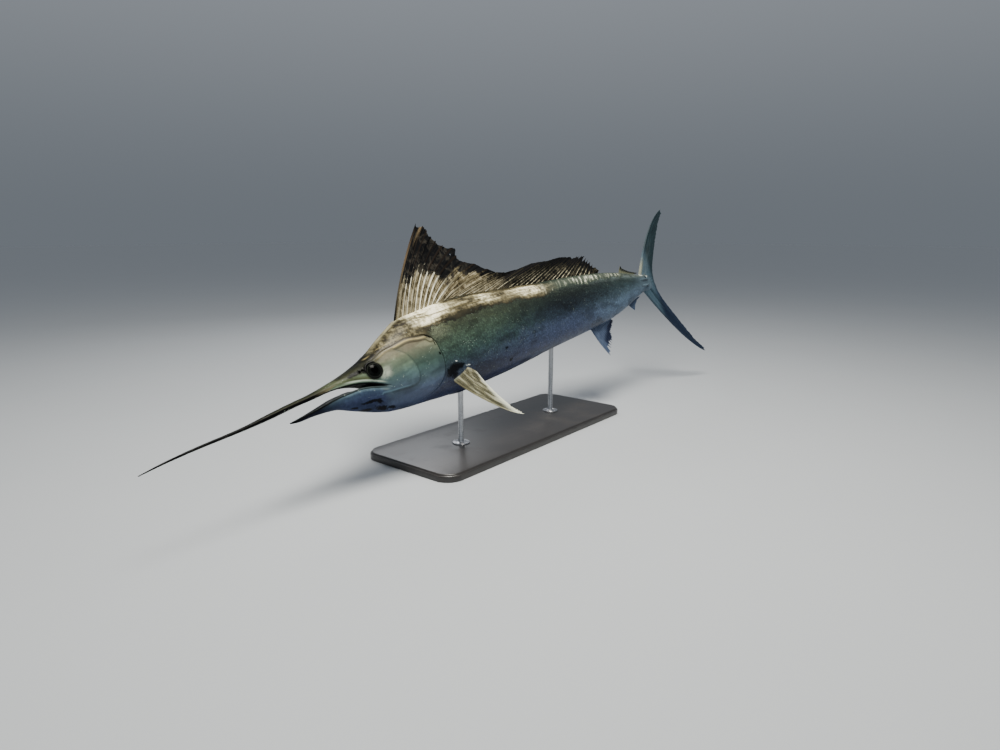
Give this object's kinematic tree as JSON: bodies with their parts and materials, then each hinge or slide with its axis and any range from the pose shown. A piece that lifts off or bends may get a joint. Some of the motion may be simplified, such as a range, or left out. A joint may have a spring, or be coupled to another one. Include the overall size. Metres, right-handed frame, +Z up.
{
  "type": "sailfish display model",
  "caption": "Life-size still model of a sailfish with its long bill, raised torn sail fin and forked tail, banked nose down on a flat base with rods.",
  "frame": {"origin": "on the floor under the centre of the stand base", "axes": "+X from the bill to the tail, +Y to the right side of the fish, +Z up"},
  "size_m": [2.3375, 0.34, 0.7259],
  "materials": {
    "bill": "satin dark olive to black, dry",
    "jaw": "satin slate blue",
    "head_skin": "satin bronze to grey green",
    "cover_skin": "satin pale grey green",
    "eye": "gloss, opaque black",
    "body_skin": "satin, bronze back, olive green flank, slate blue belly",
    "sail": "satin dark brown web with pale rays",
    "small_fins": "satin blue violet",
    "tail_fin": "satin dark olive to blue black",
    "pectoral_fins": "satin tan with dark streaks",
    "pelvic_fins": "satin blue black",
    "stand_wood": "satin black painted wood",
    "stand_steel": "brushed"
  },
  "bodies": {
    "root": {"bill": "bill", "lower_jaw": "jaw", "head": "head_skin", "gill_cover_left": "cover_skin", "gill_cover_right": "cover_skin", "eye_left": "eye", "eye_right": "eye", "torso_front": "body_skin", "torso_middle": "body_skin", "torso_rear": "body_skin", "tail_peduncle": "body_skin", "dorsal_sail_front": "sail", "dorsal_sail_rear": "sail", "dorsal_second": "small_fins", "anal_first": "small_fins", "anal_second": "small_fins", "tail_lobe_upper": "tail_fin", "tail_lobe_lower": "tail_fin", "pectoral_left": "pectoral_fins", "pectoral_right": "pectoral_fins", "pelvic_left": "pelvic_fins", "pelvic_right": "pelvic_fins", "stand_base": "stand_wood", "stand_rod_front": "stand_steel", "stand_rod_rear": "stand_steel"}
  },
  "joints": []
}
